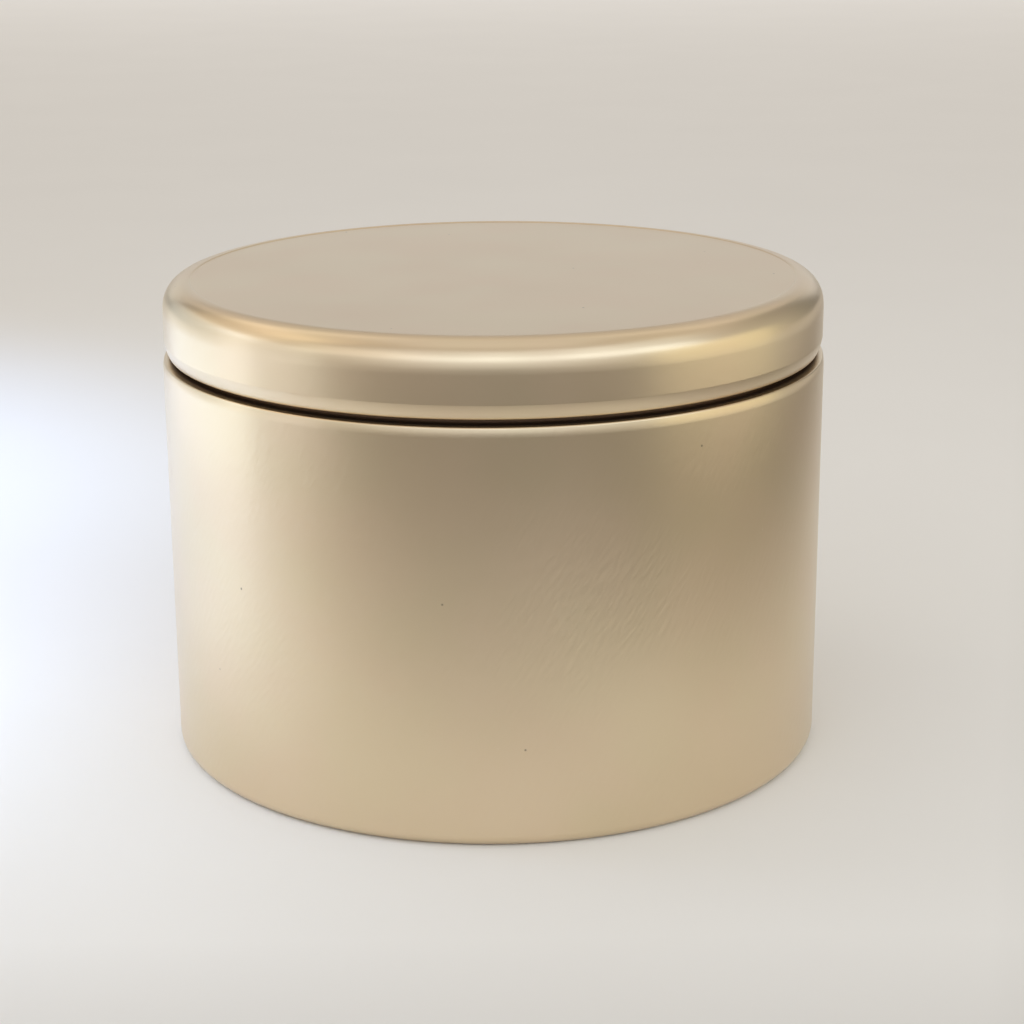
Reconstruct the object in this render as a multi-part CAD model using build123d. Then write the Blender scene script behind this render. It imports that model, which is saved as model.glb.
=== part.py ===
from build123d import *

import os
from math import acos, cos, degrees, radians, sin

# A round cookie tin with a slip lid, formed from lacquered tinplate in two pieces.
#
# The body is one deep-drawn cup: a recessed floor inside a flat stand ring, a straight wall, a
# rounded shoulder that ends in a narrow ledge, a narrower neck, and a rim curled inwards so that
# no cut edge is exposed. The lid is one drawn cap: a flat panel, a rounded corner, a short skirt,
# and a hem that is creased slightly in, turned under and curled up. The lid's corner seats over
# the rim and its hem slides on the neck, which leaves a narrow shadow gap between hem and ledge.
#
# Millimetres. The origin is the centre of the stand ring's underside, and +Z points up.

# Driving dimensions
BODY_RADIUS = 65.0  # outside of the wall
OVERALL_HEIGHT = 93.6
LID_HEIGHT = 14.05  # hem's underside to the top
LID_INSET = 0.35  # how far the skirt stands inside the wall
SHADOW_GAP = 1.1  # between the hem and the ledge below it
SHEET = 0.3  # thickness of the tinplate

# Lid
LID_CORNER_RADIUS = 4.9  # outside, between panel and skirt
LID_CORNER_EASE_BEND = 12.0  # wider bend that ends the corner, on the sheet's middle
LID_CORNER_EASE_TURN = 8.0  # degrees of the corner that it takes
PANEL_RING_WIDTH = 0.25  # flat ring between the corner and the panel's step
PANEL_STEP = 0.15  # how far the panel stands below that ring
PANEL_STEP_BEND = 0.4  # radius of the two bends of the step, on the sheet's middle
HEM_CREASE_BEND = 0.6  # sharp bend that starts the hem, on the sheet's middle
HEM_CREASE_TURN = 8.0
HEM_SWEEP_BEND = 8.5  # wide bend of the hem's face below the crease
HEM_SWEEP_TURN = 17.0
HEM_EDGE_BEND = 0.35  # tight bend of the hem's lower edge
HEM_UNDERSIDE = 0.33  # width of the hem's flat underside, before it curls up
HEM_CURL_TURN = 180.0
CURL_BEND = 0.95  # radius of the hem's and the rim's curl, on the sheet's middle

# Body
BASE_CORNER_RADIUS = 2.2  # outside, between wall and stand ring
STAND_RING_WIDTH = 3.4
FLOOR_RISE = 1.3  # how far the floor stands above the stand ring
FLOOR_STEP_BEND = 1.0
FLOOR_BEAD_RADIUS = 42.0  # inner edge of the stiffening bead pressed up into the floor
FLOOR_BEAD_WIDTH = 3.0  # flat top of the bead
FLOOR_BEAD_RISE = 0.5
FLOOR_BEAD_BEND = 1.2
SHOULDER_EASE_RADIUS = 6.5  # outside, wide bend that starts the shoulder
SHOULDER_EASE_TURN = 13.2  # degrees of the shoulder that it takes
SHOULDER_RADIUS = 0.35  # outside, tight bend onto the ledge below the lid
NECK_RADIUS = 61.8  # outside
NECK_FOOT_BEND = 0.85  # where the ledge turns up into the neck
RIM_CURL_TURN = 250.0
RIM_DROP = 0.3  # rim's top below the lid's inner face, where the lid's corner seats

HALF_SHEET = SHEET / 2
OUT = 0.0  # headings in the section plane, in degrees
UP = 90.0
DOWN = -90.0
LEFT = 1
RIGHT = -1


def heading_vector(degrees_from_out):
    """Unit vector in the XZ plane for a heading in degrees."""
    angle = radians(degrees_from_out)
    return Vector(cos(angle), 0, sin(angle))


class SheetSection:
    """Half section of a formed sheet, laid out along its middle as tangent runs and bends."""

    def __init__(self, radius, height, heading):
        self.point = Vector(radius, 0, height)
        self.heading = heading
        self.faces = {LEFT: [], RIGHT: []}

    def beside(self, side):
        """The point on the sheet's left or right face next to the current point."""
        return self.point + heading_vector(self.heading + 90 * side) * HALF_SHEET

    def run(self, length):
        """Goes straight on."""
        starts = {side: self.beside(side) for side in self.faces}
        self.point += heading_vector(self.heading) * length
        for side, edges in self.faces.items():
            edges.append(Line(starts[side], self.beside(side)))

    def run_to_radius(self, radius):
        self.run(abs(radius - self.point.X))

    def run_to_height(self, height):
        self.run(abs(height - self.point.Z))

    def bend(self, radius, turn, towards):
        """Turns by that many degrees to the left or right, around a bend of that middle radius."""
        to_centre = self.heading + 90 * towards
        centre = self.point + heading_vector(to_centre) * radius
        for side, edges in self.faces.items():
            face_radius = radius - side * towards * HALF_SHEET
            spots = [
                centre - heading_vector(to_centre + towards * turn * part) * face_radius
                for part in (0, 0.5, 1)
            ]
            edges.append(ThreePointArc(*spots))
        self.heading += towards * turn
        self.point = centre - heading_vector(to_centre + towards * turn) * radius

    def step(self, radius, offset, towards):
        """Shifts the sheet sideways by the offset, with two equal and opposite bends."""
        turn = degrees(acos(1 - offset / (2 * radius)))
        self.bend(radius, turn, towards)
        self.bend(radius, turn, -towards)

    def revolved(self):
        """The closed solid that the section sweeps around the vertical axis."""
        start = Line(self.faces[LEFT][0] @ 0, self.faces[RIGHT][0] @ 0)
        end = Line(self.faces[LEFT][-1] @ 1, self.faces[RIGHT][-1] @ 1)
        outline = Wire([start, *self.faces[LEFT], end, *self.faces[RIGHT]])
        return revolve(Face(outline), Axis.Z, 360)


def make_lid():
    """The cap, from the middle of its panel out to its hem."""
    corner_bend = LID_CORNER_RADIUS - HALF_SHEET
    corner_turn = OUT - DOWN - LID_CORNER_EASE_TURN
    corner_width = corner_bend * sin(radians(corner_turn))
    ease_width = LID_CORNER_EASE_BEND * (1 - sin(radians(corner_turn)))
    step_turn = acos(1 - PANEL_STEP / (2 * PANEL_STEP_BEND))
    step_width = 2 * PANEL_STEP_BEND * sin(step_turn)
    skirt_radius = BODY_RADIUS - LID_INSET - HALF_SHEET
    panel_radius = skirt_radius - ease_width - corner_width - PANEL_RING_WIDTH - step_width

    crease_rise = sin(radians(HEM_CREASE_TURN))
    sweep_rise = sin(radians(HEM_CREASE_TURN + HEM_SWEEP_TURN))
    crease_height = HEM_CREASE_BEND * crease_rise
    sweep_height = HEM_SWEEP_BEND * (sweep_rise - crease_rise)
    edge_height = HEM_EDGE_BEND * (1 - sweep_rise) + HALF_SHEET
    hem_bottom = OVERALL_HEIGHT - LID_HEIGHT
    skirt_bottom = hem_bottom + edge_height + sweep_height + crease_height

    sheet = SheetSection(0, OVERALL_HEIGHT - PANEL_STEP - HALF_SHEET, OUT)
    sheet.run_to_radius(panel_radius)
    sheet.step(PANEL_STEP_BEND, PANEL_STEP, LEFT)
    sheet.run(PANEL_RING_WIDTH)
    sheet.bend(corner_bend, corner_turn, RIGHT)
    sheet.bend(LID_CORNER_EASE_BEND, LID_CORNER_EASE_TURN, RIGHT)
    sheet.run_to_height(skirt_bottom)
    sheet.bend(HEM_CREASE_BEND, HEM_CREASE_TURN, RIGHT)
    sheet.bend(HEM_SWEEP_BEND, HEM_SWEEP_TURN, RIGHT)
    sheet.bend(HEM_EDGE_BEND, OUT - DOWN - HEM_CREASE_TURN - HEM_SWEEP_TURN, RIGHT)
    sheet.run(HEM_UNDERSIDE)
    sheet.bend(CURL_BEND, HEM_CURL_TURN, RIGHT)
    return sheet.revolved()


def make_body():
    """The cup, from the middle of its floor out and up to its rim."""
    wall_radius = BODY_RADIUS - HALF_SHEET
    corner_bend = BASE_CORNER_RADIUS - HALF_SHEET
    ease_bend = SHOULDER_EASE_RADIUS - HALF_SHEET
    shoulder_bend = SHOULDER_RADIUS - HALF_SHEET
    ease_rise = sin(radians(SHOULDER_EASE_TURN))
    shoulder_height = SHOULDER_EASE_RADIUS * ease_rise + SHOULDER_RADIUS * (1 - ease_rise)
    ledge_height = OVERALL_HEIGHT - LID_HEIGHT - SHADOW_GAP
    step_turn = acos(1 - FLOOR_RISE / (2 * FLOOR_STEP_BEND))
    step_width = 2 * FLOOR_STEP_BEND * sin(step_turn)
    floor_radius = BODY_RADIUS - BASE_CORNER_RADIUS - STAND_RING_WIDTH - step_width
    rim_top = OVERALL_HEIGHT - SHEET - RIM_DROP
    quarter_turn = UP - OUT

    sheet = SheetSection(0, FLOOR_RISE + HALF_SHEET, OUT)
    sheet.run_to_radius(FLOOR_BEAD_RADIUS)
    sheet.step(FLOOR_BEAD_BEND, FLOOR_BEAD_RISE, LEFT)
    sheet.run(FLOOR_BEAD_WIDTH)
    sheet.step(FLOOR_BEAD_BEND, FLOOR_BEAD_RISE, RIGHT)
    sheet.run_to_radius(floor_radius)
    sheet.step(FLOOR_STEP_BEND, FLOOR_RISE, RIGHT)
    sheet.run(STAND_RING_WIDTH)
    sheet.bend(corner_bend, quarter_turn, LEFT)
    sheet.run_to_height(ledge_height - shoulder_height)
    sheet.bend(ease_bend, SHOULDER_EASE_TURN, LEFT)
    sheet.bend(shoulder_bend, quarter_turn - SHOULDER_EASE_TURN, LEFT)
    sheet.run_to_radius(NECK_RADIUS - HALF_SHEET + NECK_FOOT_BEND)
    sheet.bend(NECK_FOOT_BEND, quarter_turn, RIGHT)
    sheet.run_to_height(rim_top - CURL_BEND - HALF_SHEET)
    sheet.bend(CURL_BEND, RIM_CURL_TURN, LEFT)
    return sheet.revolved()


def main():
    os.makedirs("parts", exist_ok=True)
    for name, solid in (("tin_body", make_body()), ("lid", make_lid())):
        solid.label = name
        export_step(solid, f"parts/{name}.step")


main()
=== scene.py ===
import math

import bmesh
import bpy
from mathutils import Euler, Matrix, Vector


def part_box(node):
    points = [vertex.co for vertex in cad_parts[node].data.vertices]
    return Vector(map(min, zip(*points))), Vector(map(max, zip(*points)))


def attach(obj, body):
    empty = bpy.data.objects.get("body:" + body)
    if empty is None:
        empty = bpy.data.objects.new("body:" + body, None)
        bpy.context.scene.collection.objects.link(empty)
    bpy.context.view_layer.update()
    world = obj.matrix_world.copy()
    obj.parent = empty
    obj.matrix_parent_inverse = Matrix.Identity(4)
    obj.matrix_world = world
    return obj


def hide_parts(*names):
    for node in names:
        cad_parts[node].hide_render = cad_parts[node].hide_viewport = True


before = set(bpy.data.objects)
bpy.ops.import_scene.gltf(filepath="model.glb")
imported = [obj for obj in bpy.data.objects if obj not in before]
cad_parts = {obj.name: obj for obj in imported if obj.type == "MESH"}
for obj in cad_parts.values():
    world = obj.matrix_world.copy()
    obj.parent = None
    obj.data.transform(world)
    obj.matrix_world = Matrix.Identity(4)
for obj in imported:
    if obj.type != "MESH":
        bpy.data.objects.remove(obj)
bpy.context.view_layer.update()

# A satin champagne-gold tin with a slip lid, on a pale studio floor. Lengths are in metres.
#
# Both drawn shells are lathed here from the same section as the CAD model, with far finer facets,
# and stand for its two nodes.

MM = 0.001

# Sizes that the frame gives
body_low, body_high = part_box("tin_body")
lid_low, lid_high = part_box("lid")
BODY_RADIUS = max(body_high.x, -body_low.x)
LID_RADIUS = max(lid_high.x, -lid_low.x)
OVERALL_HEIGHT = lid_high.z
HEM_BOTTOM = lid_low.z
RIM_TOP = body_high.z

# Sizes of the formed sheet
SHEET = 0.3 * MM
CURL_BEND = 0.95 * MM
LID_CORNER_RADIUS = 4.9 * MM
LID_CORNER_EASE_BEND = 12.0 * MM
LID_CORNER_EASE_TURN = 8.0
PANEL_RING_WIDTH = 0.25 * MM
PANEL_STEP = 0.15 * MM
PANEL_STEP_BEND = 0.4 * MM
HEM_CREASE_BEND = 0.6 * MM
HEM_CREASE_TURN = 8.0
HEM_SWEEP_BEND = 8.5 * MM
HEM_SWEEP_TURN = 17.0
HEM_EDGE_BEND = 0.35 * MM
HEM_UNDERSIDE = 0.33 * MM
HEM_CURL_TURN = 180.0
SHADOW_GAP = 1.1 * MM
BASE_CORNER_RADIUS = 2.2 * MM
STAND_RING_WIDTH = 3.4 * MM
FLOOR_RISE = 1.3 * MM
FLOOR_STEP_BEND = 1.0 * MM
FLOOR_BEAD_RADIUS = 42.0 * MM
FLOOR_BEAD_WIDTH = 3.0 * MM
FLOOR_BEAD_RISE = 0.5 * MM
FLOOR_BEAD_BEND = 1.2 * MM
SHOULDER_EASE_RADIUS = 6.5 * MM
SHOULDER_EASE_TURN = 13.2
SHOULDER_RADIUS = 0.35 * MM
NECK_RADIUS = 61.8 * MM
NECK_FOOT_BEND = 0.85 * MM
RIM_CURL_TURN = 250.0

HALF_SHEET = SHEET / 2
OUT, UP, DOWN = 0.0, 90.0, -90.0  # headings in the section plane, in degrees
LEFT, RIGHT = 1, -1

# Lathe
SEGMENTS = 288
DEGREES_PER_FACET = 7.0  # along a bend
RUN_EDGE = 0.12 * MM  # extra ring near each end of a run, which keeps its shading flat
LONGEST_FACET = 15.0 * MM  # along a run
ON_AXIS = 0.001 * MM  # a ring narrower than this is one point


def heading_vector(heading):
    """Unit vector (out, up) for a heading in degrees."""
    angle = math.radians(heading)
    return Vector((math.cos(angle), math.sin(angle)))


class SheetSection:
    """Half section of a formed sheet: tangent runs and bends, kept as points on its two faces."""

    def __init__(self, radius, height, heading):
        self.point = Vector((radius, height))
        self.heading = heading
        self.faces = {LEFT: [], RIGHT: []}
        self.mark()

    def mark(self):
        """Adds the two points beside the current one."""
        for side, points in self.faces.items():
            points.append(self.point + heading_vector(self.heading + 90 * side) * HALF_SHEET)

    def run(self, length):
        """Goes straight on, with a ring close to each end."""
        start = self.point.copy()
        inner = max(length - 2 * RUN_EDGE, 0.0)
        count = max(1, math.ceil(inner / LONGEST_FACET))
        stops = [RUN_EDGE + inner * i / count for i in range(count + 1)] if inner else []
        for stop in [*stops, length]:
            self.point = start + heading_vector(self.heading) * stop
            self.mark()

    def run_to_radius(self, radius):
        self.run(abs(radius - self.point.x))

    def run_to_height(self, height):
        self.run(abs(height - self.point.y))

    def bend(self, radius, turn, towards):
        """Turns by that many degrees to the left or right, around a bend of that middle radius."""
        start = self.heading
        centre = self.point + heading_vector(start + 90 * towards) * radius
        count = math.ceil(turn / DEGREES_PER_FACET)
        for i in range(1, count + 1):
            self.heading = start + towards * turn * i / count
            self.point = centre - heading_vector(self.heading + 90 * towards) * radius
            self.mark()

    def step(self, radius, offset, towards):
        """Shifts the sheet sideways by the offset, with two equal and opposite bends."""
        turn = math.degrees(math.acos(1 - offset / (2 * radius)))
        self.bend(radius, turn, towards)
        self.bend(radius, turn, -towards)


def step_width(radius, offset):
    """How far along the sheet a step reaches."""
    return 2 * radius * math.sin(math.acos(1 - offset / (2 * radius)))


def lid_section():
    """The cap, from the middle of its panel out to its hem."""
    corner_bend = LID_CORNER_RADIUS - HALF_SHEET
    corner_turn = OUT - DOWN - LID_CORNER_EASE_TURN
    corner_width = corner_bend * math.sin(math.radians(corner_turn))
    ease_width = LID_CORNER_EASE_BEND * (1 - math.sin(math.radians(corner_turn)))
    panel_step_width = step_width(PANEL_STEP_BEND, PANEL_STEP)
    skirt_radius = LID_RADIUS - HALF_SHEET
    panel_radius = skirt_radius - ease_width - corner_width - PANEL_RING_WIDTH - panel_step_width

    crease_rise = math.sin(math.radians(HEM_CREASE_TURN))
    sweep_rise = math.sin(math.radians(HEM_CREASE_TURN + HEM_SWEEP_TURN))
    crease_height = HEM_CREASE_BEND * crease_rise
    sweep_height = HEM_SWEEP_BEND * (sweep_rise - crease_rise)
    edge_height = HEM_EDGE_BEND * (1 - sweep_rise) + HALF_SHEET

    sheet = SheetSection(0, OVERALL_HEIGHT - PANEL_STEP - HALF_SHEET, OUT)
    sheet.run_to_radius(panel_radius)
    sheet.step(PANEL_STEP_BEND, PANEL_STEP, LEFT)
    sheet.run(PANEL_RING_WIDTH)
    sheet.bend(corner_bend, corner_turn, RIGHT)
    sheet.bend(LID_CORNER_EASE_BEND, LID_CORNER_EASE_TURN, RIGHT)
    sheet.run_to_height(HEM_BOTTOM + edge_height + sweep_height + crease_height)
    sheet.bend(HEM_CREASE_BEND, HEM_CREASE_TURN, RIGHT)
    sheet.bend(HEM_SWEEP_BEND, HEM_SWEEP_TURN, RIGHT)
    sheet.bend(HEM_EDGE_BEND, OUT - DOWN - HEM_CREASE_TURN - HEM_SWEEP_TURN, RIGHT)
    sheet.run(HEM_UNDERSIDE)
    sheet.bend(CURL_BEND, HEM_CURL_TURN, RIGHT)
    return sheet


def body_section():
    """The cup, from the middle of its floor out and up to its rim."""
    corner_bend = BASE_CORNER_RADIUS - HALF_SHEET
    ease_bend = SHOULDER_EASE_RADIUS - HALF_SHEET
    shoulder_bend = SHOULDER_RADIUS - HALF_SHEET
    ease_rise = math.sin(math.radians(SHOULDER_EASE_TURN))
    shoulder_height = SHOULDER_EASE_RADIUS * ease_rise + SHOULDER_RADIUS * (1 - ease_rise)
    ring_inside = BODY_RADIUS - BASE_CORNER_RADIUS - STAND_RING_WIDTH

    sheet = SheetSection(0, FLOOR_RISE + HALF_SHEET, OUT)
    sheet.run_to_radius(FLOOR_BEAD_RADIUS)
    sheet.step(FLOOR_BEAD_BEND, FLOOR_BEAD_RISE, LEFT)
    sheet.run(FLOOR_BEAD_WIDTH)
    sheet.step(FLOOR_BEAD_BEND, FLOOR_BEAD_RISE, RIGHT)
    sheet.run_to_radius(ring_inside - step_width(FLOOR_STEP_BEND, FLOOR_RISE))
    sheet.step(FLOOR_STEP_BEND, FLOOR_RISE, RIGHT)
    sheet.run(STAND_RING_WIDTH)
    sheet.bend(corner_bend, UP - OUT, LEFT)
    sheet.run_to_height(HEM_BOTTOM - SHADOW_GAP - shoulder_height)
    sheet.bend(ease_bend, SHOULDER_EASE_TURN, LEFT)
    sheet.bend(shoulder_bend, UP - OUT - SHOULDER_EASE_TURN, LEFT)
    sheet.run_to_radius(NECK_RADIUS - HALF_SHEET + NECK_FOOT_BEND)
    sheet.bend(NECK_FOOT_BEND, UP - OUT, RIGHT)
    sheet.run_to_height(RIM_TOP - CURL_BEND - HALF_SHEET)
    sheet.bend(CURL_BEND, RIM_CURL_TURN, LEFT)
    return sheet


OUTSIDE, INSIDE = 0, 1  # material indices


def lathe_face(mesh, points, material):
    """Revolves one face of the sheet, and returns its last ring of vertices."""
    turns = [2 * math.pi * i / SEGMENTS for i in range(SEGMENTS)]
    rings = []
    for radius, height in points:
        if radius > ON_AXIS:
            spots = [(radius * math.cos(t), radius * math.sin(t), height) for t in turns]
            rings.append([mesh.verts.new(spot) for spot in spots])
        else:
            rings.append([mesh.verts.new((0, 0, height))] * SEGMENTS)
    for inner, outer in zip(rings, rings[1:]):
        add_band(mesh, inner, outer, material)
    return rings[-1]


def add_band(mesh, inner, outer, material):
    """A band of quads between two rings, or of triangles around a centre."""
    for i in range(SEGMENTS):
        j = (i + 1) % SEGMENTS
        corners = dict.fromkeys([inner[i], outer[i], outer[j], inner[j]])
        face = mesh.faces.new(list(corners))
        face.material_index = material
        face.smooth = True


def lathe(name, section, outside_face):
    """A closed shell of revolution. outside_face is the side of the section that faces outwards."""
    mesh = bmesh.new()
    ends = {}
    for side, points in section.faces.items():
        material = OUTSIDE if side == outside_face else INSIDE
        ends[side] = lathe_face(mesh, points, material)
    add_band(mesh, ends[LEFT], ends[RIGHT], OUTSIDE)
    bmesh.ops.recalc_face_normals(mesh, faces=mesh.faces)
    data = bpy.data.meshes.new(name)
    mesh.to_mesh(data)
    mesh.free()
    piece = bpy.data.objects.new(name, data)
    bpy.context.scene.collection.objects.link(piece)
    return piece


# Lacquer. Colours are linear RGBA.
OLIVE_DARK, OLIVE_LIGHT = (0.738, 0.61, 0.415, 1), (0.757, 0.63, 0.433, 1)
ROSY_DARK, ROSY_LIGHT = (0.748, 0.602, 0.419, 1), (0.767, 0.621, 0.438, 1)
DARK_SPECK, PALE_SPECK = (0.13, 0.1, 0.07, 1), (0.95, 0.9, 0.8, 1)
# The next two colours are painted shade for the groove under the lid's hem: a dark base colour and a
# dark tint on its reflections.
GROOVE_SHADE_COLOUR, GROOVE_SHADE_REFLECTION = (0.16, 0.105, 0.07, 1), (0.3, 0.22, 0.17, 1)
SATIN_LOW, SATIN_HIGH = 0.276, 0.296  # roughness
GROOVE_DULLING = 0.25  # added roughness
COAT_WEIGHT = 0.5
COAT_ROUGHNESS = 0.5
GRAIN_DEPTH = 0.003 * MM
RIPPLE_DEPTH = 0.055 * MM
RIPPLE_SLANT = 9.5  # radians of turn per metre of height
RIPPLE_STRETCH = 2.3  # how much longer than wide a ripple is
RIPPLE_FADE = 12 * MM  # below the hem, where the ripples reach their full depth
RIPPLES_ON_LID = 0.12  # their depth on the lid, as a part of the full depth

# Tinplate
TINPLATE_DARK, TINPLATE_LIGHT = (0.66, 0.64, 0.6, 1), (0.74, 0.72, 0.68, 1)
ALONG_GRAIN = 0.02  # texture scale along the grain, as a part of the scale across it


class Nodes:
    """A short way to add and join the nodes of a material or a world."""

    def __init__(self, owner, shader, coordinates):
        owner.use_nodes = True
        self.tree = owner.node_tree
        self.shader = self.tree.nodes[shader]
        self.place = self.add("ShaderNodeTexCoord").outputs[coordinates]

    def add(self, kind, inputs=(), **settings):
        """Adds a node, sets its properties, and fills its inputs from values or outputs."""
        node = self.tree.nodes.new(kind)
        for key, value in settings.items():
            setattr(node, key, value)
        for key, value in dict(inputs).items():
            self.put(node.inputs[key], value)
        return node

    def put(self, socket, value):
        if isinstance(value, bpy.types.NodeSocket):
            self.tree.links.new(value, socket)
        else:
            socket.default_value = value

    def math(self, operation, *values):
        node = self.add("ShaderNodeMath", operation=operation)
        for socket, value in zip(node.inputs, values):
            self.put(socket, value)
        return node.outputs[0]

    def scaled(self, vector, scale):
        node = self.add("ShaderNodeVectorMath", operation="MULTIPLY")
        self.put(node.inputs[0], vector)
        node.inputs[1].default_value = scale
        return node.outputs[0]

    def noise(self, vector, scale, detail=2.0, roughness=0.5, distortion=0.0):
        inputs = {
            "Vector": vector,
            "Scale": scale,
            "Detail": detail,
            "Roughness": roughness,
            "Distortion": distortion,
        }
        return self.add("ShaderNodeTexNoise", inputs).outputs["Fac"]

    def ramp(self, value, low, high, to_low=0.0, to_high=1.0):
        inputs = {
            "Value": value,
            "From Min": low,
            "From Max": high,
            "To Min": to_low,
            "To Max": to_high,
        }
        return self.add("ShaderNodeMapRange", inputs, clamp=True).outputs["Result"]

    def soft_ramp(self, value, low, high, to_low=0.0, to_high=1.0):
        """A ramp that starts and ends without a kink."""
        ramp = self.ramp(value, low, high, to_low, to_high)
        ramp.node.interpolation_type = "SMOOTHERSTEP"
        return ramp

    def mix(self, factor, first, second):
        node = self.add("ShaderNodeMix", data_type="RGBA")
        self.put(node.inputs["Factor"], factor)
        self.put(node.inputs["A"], first)
        self.put(node.inputs["B"], second)
        return node.outputs["Result"]

    def bump(self, height, distance, normal=None):
        node = self.add("ShaderNodeBump", {"Height": height, "Distance": distance})
        if normal is not None:
            self.put(node.inputs["Normal"], normal)
        return node.outputs["Normal"]


def new_material(name):
    material = bpy.data.materials.new(name)
    return material, Nodes(material, "Principled BSDF", "Object")


def per_mm(size):
    """A texture scale that makes features of about that many millimetres."""
    return 1.0 / (size * MM)


def drawing_ripples(nodes):
    """Short slanting ripples that deep drawing leaves in the wall, in patches, from -0.5 to 0.5."""
    height = nodes.add("ShaderNodeSeparateXYZ", {"Vector": nodes.place}).outputs["Z"]
    untwisted = nodes.add(
        "ShaderNodeVectorRotate",
        {"Vector": nodes.place, "Angle": nodes.math("MULTIPLY", height, -RIPPLE_SLANT)},
        rotation_type="Z_AXIS",
    )
    stretched = nodes.scaled(untwisted.outputs["Vector"], (1, 1, 1 / RIPPLE_STRETCH))
    ripples = nodes.noise(stretched, per_mm(1.0), detail=0.0, distortion=0.3)
    patches = nodes.noise(nodes.place, per_mm(24), detail=0.0)
    drawn = nodes.ramp(height, HEM_BOTTOM, HEM_BOTTOM - RIPPLE_FADE, RIPPLES_ON_LID, 1.0)
    strength = nodes.math("MULTIPLY", patches, drawn)
    return nodes.math("MULTIPLY", nodes.math("SUBTRACT", ripples, 0.5), strength)


def groove_painted_shade(nodes):
    """A mask of painted shade on the ledge and the neck's foot, under the lid's hem."""
    ledge = HEM_BOTTOM - SHADOW_GAP
    height = nodes.add("ShaderNodeSeparateXYZ", {"Vector": nodes.place}).outputs["Z"]
    level = nodes.scaled(nodes.place, (1, 1, 0))
    radius = nodes.add("ShaderNodeVectorMath", {0: level}, operation="LENGTH").outputs["Value"]
    inwards = nodes.soft_ramp(radius, BODY_RADIUS - 0.6 * MM, BODY_RADIUS - 2.2 * MM)
    below_hem = nodes.soft_ramp(height, HEM_BOTTOM, HEM_BOTTOM - 0.4 * MM)
    above_wall = nodes.soft_ramp(height, ledge - 1.0 * MM, ledge - 0.3 * MM)
    return nodes.math("MULTIPLY", inwards, nodes.math("MULTIPLY", below_hem, above_wall))


def specks(nodes, spacing, radius, shift):
    """A mask of tiny round specks, where the surface meets a ball in one of the space's cells."""
    moved = nodes.add("ShaderNodeVectorMath", {0: nodes.place, 1: shift}, operation="ADD")
    cells = nodes.add(
        "ShaderNodeTexVoronoi", {"Vector": moved.outputs[0], "Scale": per_mm(spacing)}
    )
    edge = radius / spacing
    return nodes.ramp(cells.outputs["Distance"], 0.5 * edge, edge, 1.0, 0.0)


def champagne_lacquer():
    """Satin gold: clouds of tone and tint, grain, ripples, a few specks and painted shade in the
    groove under the hem.
    """
    material, nodes = new_material("champagne_lacquer")
    tone = nodes.soft_ramp(nodes.noise(nodes.place, per_mm(30), detail=1.0), 0.2, 0.8)
    tint = nodes.soft_ramp(nodes.noise(nodes.place, per_mm(18), detail=1.0), 0.2, 0.8)
    olive = nodes.mix(tone, OLIVE_DARK, OLIVE_LIGHT)
    rosy = nodes.mix(tone, ROSY_DARK, ROSY_LIGHT)
    colour = nodes.mix(tint, olive, rosy)
    dark_specks = specks(nodes, 11.0, 0.32, (0.37, 0.11, 0.23))
    colour = nodes.mix(nodes.math("MULTIPLY", dark_specks, 0.75), colour, DARK_SPECK)
    pale_specks = specks(nodes, 13.0, 0.25, (0.05, 0.41, 0.32))
    colour = nodes.mix(nodes.math("MULTIPLY", pale_specks, 0.6), colour, PALE_SPECK)
    # Painted shade: the groove under the lid's hem is darkened, its reflections are tinted dark and
    # its coat is taken off.
    groove_shade = groove_painted_shade(nodes)
    colour = nodes.mix(groove_shade, colour, GROOVE_SHADE_COLOUR)
    nodes.put(nodes.shader.inputs["Base Color"], colour)
    nodes.shader.inputs["Metallic"].default_value = 1.0
    reflection_tint = nodes.mix(groove_shade, (1, 1, 1, 1), GROOVE_SHADE_REFLECTION)
    nodes.put(nodes.shader.inputs["Specular Tint"], reflection_tint)

    smear = nodes.noise(nodes.place, per_mm(18), detail=1.0)
    satin = nodes.soft_ramp(smear, 0.2, 0.8, SATIN_LOW, SATIN_HIGH)
    dulled = nodes.ramp(groove_shade, 0, 1, 0.0, GROOVE_DULLING)
    nodes.put(nodes.shader.inputs["Roughness"], nodes.math("ADD", satin, dulled))
    nodes.put(nodes.shader.inputs["Coat Weight"], nodes.ramp(groove_shade, 0, 1, COAT_WEIGHT, 0.0))
    nodes.shader.inputs["Coat Roughness"].default_value = COAT_ROUGHNESS

    grain = nodes.bump(nodes.noise(nodes.place, per_mm(1.1), detail=0.0), GRAIN_DEPTH)
    ripples = nodes.bump(drawing_ripples(nodes), RIPPLE_DEPTH, grain)
    nodes.put(nodes.shader.inputs["Normal"], ripples)
    return material


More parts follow.
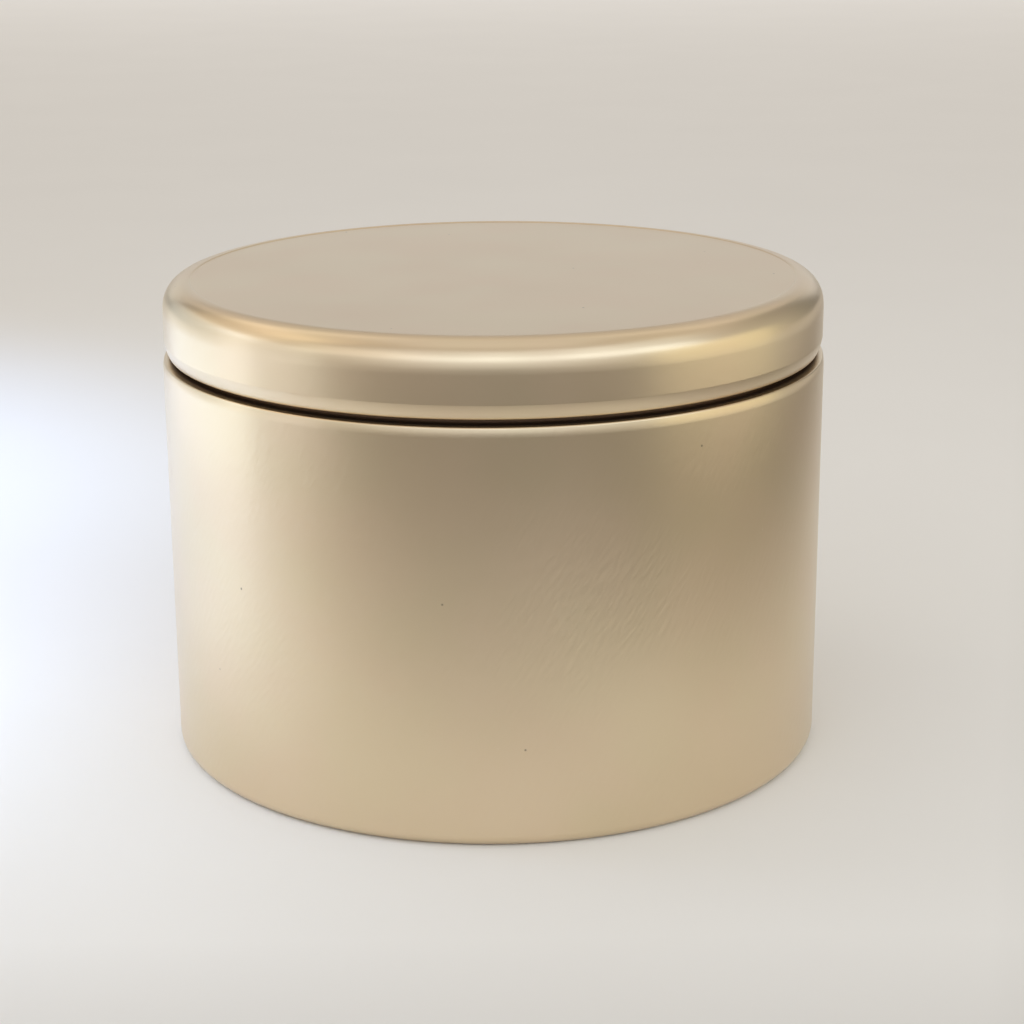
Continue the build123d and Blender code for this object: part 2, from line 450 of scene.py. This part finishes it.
def bare_tinplate():
    """The clear-lacquered inside: silvery, with the grain of the rolled and drawn sheet."""
    material, nodes = new_material("bare_tinplate")
    facing = nodes.add("ShaderNodeNewGeometry").outputs["True Normal"]
    upright = nodes.add("ShaderNodeSeparateXYZ", {"Vector": facing}).outputs["Z"]
    level = nodes.ramp(nodes.math("ABSOLUTE", upright), 0.4, 0.7)
    rolled = nodes.noise(nodes.scaled(nodes.place, (ALONG_GRAIN, 1, 1)), per_mm(0.5))
    drawn = nodes.noise(nodes.scaled(nodes.place, (1, 1, ALONG_GRAIN)), per_mm(0.5))
    grain = nodes.mix(level, drawn, rolled)
    cloud = nodes.ramp(nodes.noise(nodes.place, per_mm(20), detail=3.0), 0.3, 0.7)
    colour = nodes.mix(cloud, TINPLATE_DARK, TINPLATE_LIGHT)
    nodes.put(nodes.shader.inputs["Base Color"], colour)
    nodes.shader.inputs["Metallic"].default_value = 1.0
    nodes.put(nodes.shader.inputs["Roughness"], nodes.ramp(grain, 0.3, 0.7, 0.24, 0.4))
    nodes.put(nodes.shader.inputs["Normal"], nodes.bump(grain, GRAIN_DEPTH))
    return material


# The object

lacquer = champagne_lacquer()
tinplate = bare_tinplate()
for name, section, outside_face, node, body in (
    ("body_shell", body_section(), RIGHT, "tin_body", "tin"),
    ("lid_shell", lid_section(), LEFT, "lid", "cover"),
):
    shell = lathe(name, section, outside_face)
    shell.data.materials.append(lacquer)
    shell.data.materials.append(tinplate)
    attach(shell, body)
    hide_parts(node)


# Studio
FLOOR_RADIUS = 6.0
FLOOR_SIDES = 96
BOARD_DARK, BOARD_LIGHT = (0.85, 0.845, 0.835, 1), (0.88, 0.875, 0.865, 1)
# Painted shade: the grey of the floor band outside the frame, standing for less light falling there.
BOARD_PAINTED_SHADE = (0.16, 0.125, 0.092, 1)  # the band outside the frame
AIM_HEIGHT = 0.05  # the standing boxes face the tin there
POOL_SOFTNESS = 0.04  # radius of the spots' lamps
SENSOR_WIDTH = 36.0  # in millimetres, as the lens
LENS = 80.8
CAMERA_BACK, CAMERA_UP = 6.871, 2.726  # in radii of the body
CAMERA_PITCH, CAMERA_TURN, CAMERA_ROLL = 16.59, 0.44, -0.35


def floor_material():
    """Matt pale board, with painted shade: greyer in a band just outside the frame to the front and
    the right, which dims the floor that the tin reflects.
    """
    material, nodes = new_material("studio_board")
    spread = nodes.add("ShaderNodeSeparateXYZ", {"Vector": nodes.place})
    across, depth = spread.outputs["X"], spread.outputs["Y"]
    behind = nodes.ramp(depth, -0.34, -0.1)
    slanted = nodes.math("ADD", across, nodes.math("MULTIPLY", depth, -0.23))
    leftwards = nodes.ramp(slanted, 0.26, 0.105, 0.15, 1.0)
    near = nodes.math("MULTIPLY", behind, leftwards)
    far = nodes.ramp(nodes.math("ABSOLUTE", across), 0.33, 0.4)
    ahead = nodes.ramp(depth, -0.39, -0.47, 0.0, 0.33)
    # Where the board stays pale; elsewhere it takes the painted shade.
    paleness = nodes.math("MAXIMUM", nodes.math("MAXIMUM", near, far), ahead)
    tone = nodes.noise(nodes.place, per_mm(90), detail=3.0)
    pale = nodes.mix(tone, BOARD_DARK, BOARD_LIGHT)
    nodes.put(nodes.shader.inputs["Base Color"], nodes.mix(paleness, BOARD_PAINTED_SHADE, pale))
    nodes.shader.inputs["Roughness"].default_value = 0.7
    nodes.shader.inputs["Specular IOR Level"].default_value = 0.2
    return material


def make_stage():
    """A wide round floor."""
    mesh = bmesh.new()
    bmesh.ops.create_circle(mesh, cap_ends=True, radius=FLOOR_RADIUS, segments=FLOOR_SIDES)
    data = bpy.data.meshes.new("studio_floor")
    mesh.to_mesh(data)
    mesh.free()
    data.materials.append(floor_material())
    floor = bpy.data.objects.new("studio_floor", data)
    bpy.context.scene.collection.objects.link(floor)


def hang(name, data, place, target, power, colour):
    """Places a lamp that faces its target and isn't seen itself."""
    data.energy = power
    data.color = colour
    lamp = bpy.data.objects.new(name, data)
    lamp.location = place
    lamp.rotation_mode = "QUATERNION"
    lamp.rotation_quaternion = (Vector(target) - Vector(place)).to_track_quat("-Z", "Y")
    lamp.visible_camera = False
    bpy.context.scene.collection.objects.link(lamp)


def softbox(name, place, target, width, height, power, colour=(1, 1, 1)):
    """A soft rectangular lamp."""
    data = bpy.data.lights.new(name, "AREA")
    data.shape = "RECTANGLE"
    data.size = width
    data.size_y = height
    hang(name, data, place, target, power, colour)


def standing_box(name, azimuth, elevation, distance, width, height, power, colour):
    """A lamp that faces the tin. Azimuth is in degrees from the front, positive to +X."""
    turn, lift = math.radians(azimuth), math.radians(elevation)
    offset = Vector(
        (math.sin(turn) * math.cos(lift), -math.cos(turn) * math.cos(lift), math.sin(lift))
    )
    target = Vector((0, 0, AIM_HEIGHT))
    softbox(name, target + offset * distance, target, width, height, power, colour)


def floor_pool(name, place, target, half_angle, power, colour):
    """A soft-edged spot that lights a patch of the floor and leaves the tin out of its cone."""
    data = bpy.data.lights.new(name, "SPOT")
    data.spot_size = math.radians(2 * half_angle)
    data.spot_blend = 1.0
    data.shadow_soft_size = POOL_SOFTNESS
    hang(name, data, place, target, power, colour)


def make_lamps():
    """A broad band of light in front and to the right, low white cards, and a bright left side."""
    cool = (0.74, 0.89, 1.07)
    standing_box("band_left", -15, 28, 0.9, 0.48, 0.28, 0.29, cool)
    standing_box("band_middle", 15, 28, 0.9, 0.48, 0.28, 0.28, cool)
    standing_box("band_right", 43, 28, 0.9, 0.42, 0.28, 0.34, cool)
    standing_box("band_far_right", 65, 28, 0.9, 0.27, 0.28, 0.24, cool)
    standing_box("band_far_left", -50, 32, 0.7, 0.48, 0.3, 0.17, (0.95, 0.95, 0.95))
    standing_box("high_left", -20, 48, 0.9, 0.6, 0.3, 0.15, cool)
    standing_box("high_middle", 20, 48, 0.9, 0.6, 0.3, 0.17, cool)
    standing_box("high_right", 60, 48, 0.9, 0.6, 0.3, 0.24, cool)
    standing_box("side_right", 115, 55, 0.9, 0.7, 0.4, 0.12, (1, 0.93, 0.8))
    standing_box("side_left", -115, 55, 0.9, 0.7, 0.4, 0.26, (1, 0.9, 0.75))
    softbox("card_left", (-0.24, 0.1, 0.1), (0, 0.1, 0.1), 0.3, 0.19, 0.11, (0.74, 0.87, 1))
    softbox("card_far_left", (-0.4, -0.1, 0.13), (0, 0, 0.13), 0.3, 0.24, 0.11, (0.76, 0.85, 1))
    softbox("card_high_left", (-0.28, 0.08, 0.3), (0, 0.05, 0.08), 0.35, 0.2, 0.08, (1, 0.85, 0.65))
    softbox("card_right", (0.42, -0.1, 0.12), (0, 0, 0.12), 0.4, 0.23, 0.13, (1, 0.9, 0.5))
    softbox("top_box", (0, 0, 0.55), (0, 0, 0), 0.35, 0.35, 0.11, (0.8, 0.9, 1))
    softbox("back_low", (0, 2.5, 0.55), (0, 0, 0.1), 3.0, 0.8, 5.5)
    softbox("back_high", (0, 2.5, 1.5), (0, 0, 0.1), 3.0, 0.8, 3.4, (1, 0.9, 0.82))
    softbox("back_top", (0, 1.2, 1.6), (0, 0, 0.1), 2.5, 1.0, 2.7, (1, 0.95, 0.88))
    floor_pool("left_pool", (-0.3, 0.15, 0.9), (-0.3, 0.15, 0), 18, 21, (0.43, 0.65, 1.1))
    floor_pool("near_pool", (-0.2, -0.01, 0.12), (-0.13, -0.02, 0), 45, 0.38, (0.6, 0.78, 1.1))
    floor_pool("front_pool", (-0.49, -0.22, 0.9), (-0.49, -0.22, 0), 12, 13, (0.75, 0.85, 1))


def make_world():
    """Soft ambient light in broad lobes: from the front, both sides and above."""
    world = bpy.data.worlds.new("studio_air")
    nodes = Nodes(world, "Background", "Generated")
    total = (0, 0, 0)
    for axis, colour in (
        ((0, -1, 0), (0.93, 0.96, 1.0)),
        ((1, 0, 0), (0.6, 0.57, 0.5)),
        ((-1, 0, 0), (0.55, 0.5, 0.41)),
        ((0, 0, 1), (0.6, 0.53, 0.45)),
    ):
        along = nodes.add("ShaderNodeVectorMath", {0: nodes.place, 1: axis}, operation="DOT_PRODUCT")
        lobe = nodes.math("POWER", nodes.math("MAXIMUM", along.outputs["Value"], 0.0), 2.0)
        scaled = nodes.add("ShaderNodeVectorMath", {0: colour, "Scale": lobe}, operation="SCALE")
        added = nodes.add(
            "ShaderNodeVectorMath", {0: total, 1: scaled.outputs[0]}, operation="ADD"
        )
        total = added.outputs[0]
    nodes.put(nodes.shader.inputs["Color"], total)
    bpy.context.scene.world = world


def make_camera():
    """Just above the lid and a little way back, level apart from a slight roll."""
    data = bpy.data.cameras.new("camera")
    data.sensor_width = SENSOR_WIDTH
    data.lens = LENS
    camera = bpy.data.objects.new("camera", data)
    camera.location = (0, -CAMERA_BACK * BODY_RADIUS, CAMERA_UP * BODY_RADIUS)
    pitch, turn, roll = map(math.radians, (90 - CAMERA_PITCH, -CAMERA_TURN, CAMERA_ROLL))
    facing = Euler((pitch, 0, turn)).to_matrix()
    camera.rotation_euler = (facing @ Matrix.Rotation(roll, 3, "Z")).to_euler()
    bpy.context.scene.collection.objects.link(camera)
    bpy.context.scene.camera = camera


make_stage()
make_world()
make_camera()
make_lamps()

scene = bpy.context.scene
scene.view_settings.view_transform = "Standard"
